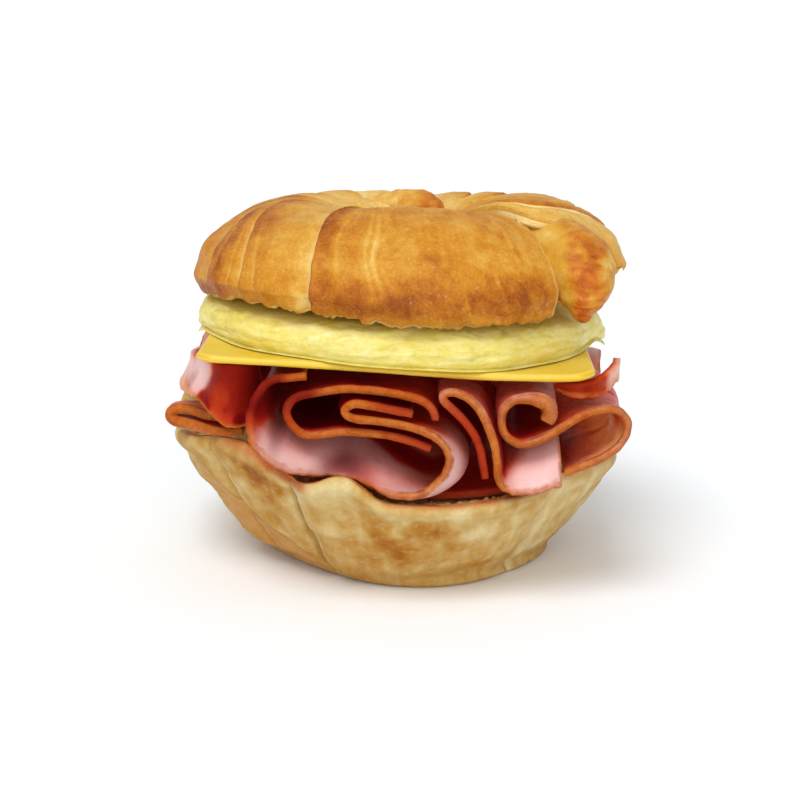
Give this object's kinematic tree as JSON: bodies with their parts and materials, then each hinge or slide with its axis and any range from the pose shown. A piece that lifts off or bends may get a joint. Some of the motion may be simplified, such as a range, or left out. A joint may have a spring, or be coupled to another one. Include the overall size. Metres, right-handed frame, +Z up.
{
  "type": "ham and cheese croissant",
  "caption": "Ring-shaped croissant sandwich with folded ham slices, a slice of yellow cheese and a round egg patty.",
  "frame": {"origin": "a point on the flat base of the bread, under the middle of the cheese slice", "axes": "+Z up, -Y towards the front of the sandwich as pictured, +X to the right seen from the front"},
  "size_m": [0.1106, 0.1024, 0.0891],
  "materials": {
    "crust_golden": "satin",
    "crust_pale": "matte",
    "egg": "matte",
    "cheese": "satin",
    "ham": "satin"
  },
  "bodies": {
    "root": {"croissant_top": "crust_golden", "egg_patty": "egg", "cheese_slice": "cheese", "ham_swoop": "ham", "ham_loop": "ham", "ham_hairpin": "ham", "ham_roll": "ham", "ham_left": "ham", "ham_nub": "ham", "ham_right": "ham", "ham_bed": "ham", "ham_side_right": "ham", "ham_side_left": "ham", "ham_back_swoop": "ham", "ham_back_loop": "ham", "ham_back_roll": "ham", "ham_back_fold": "ham", "ham_wall": "ham", "croissant_bottom": "crust_pale"}
  },
  "joints": []
}
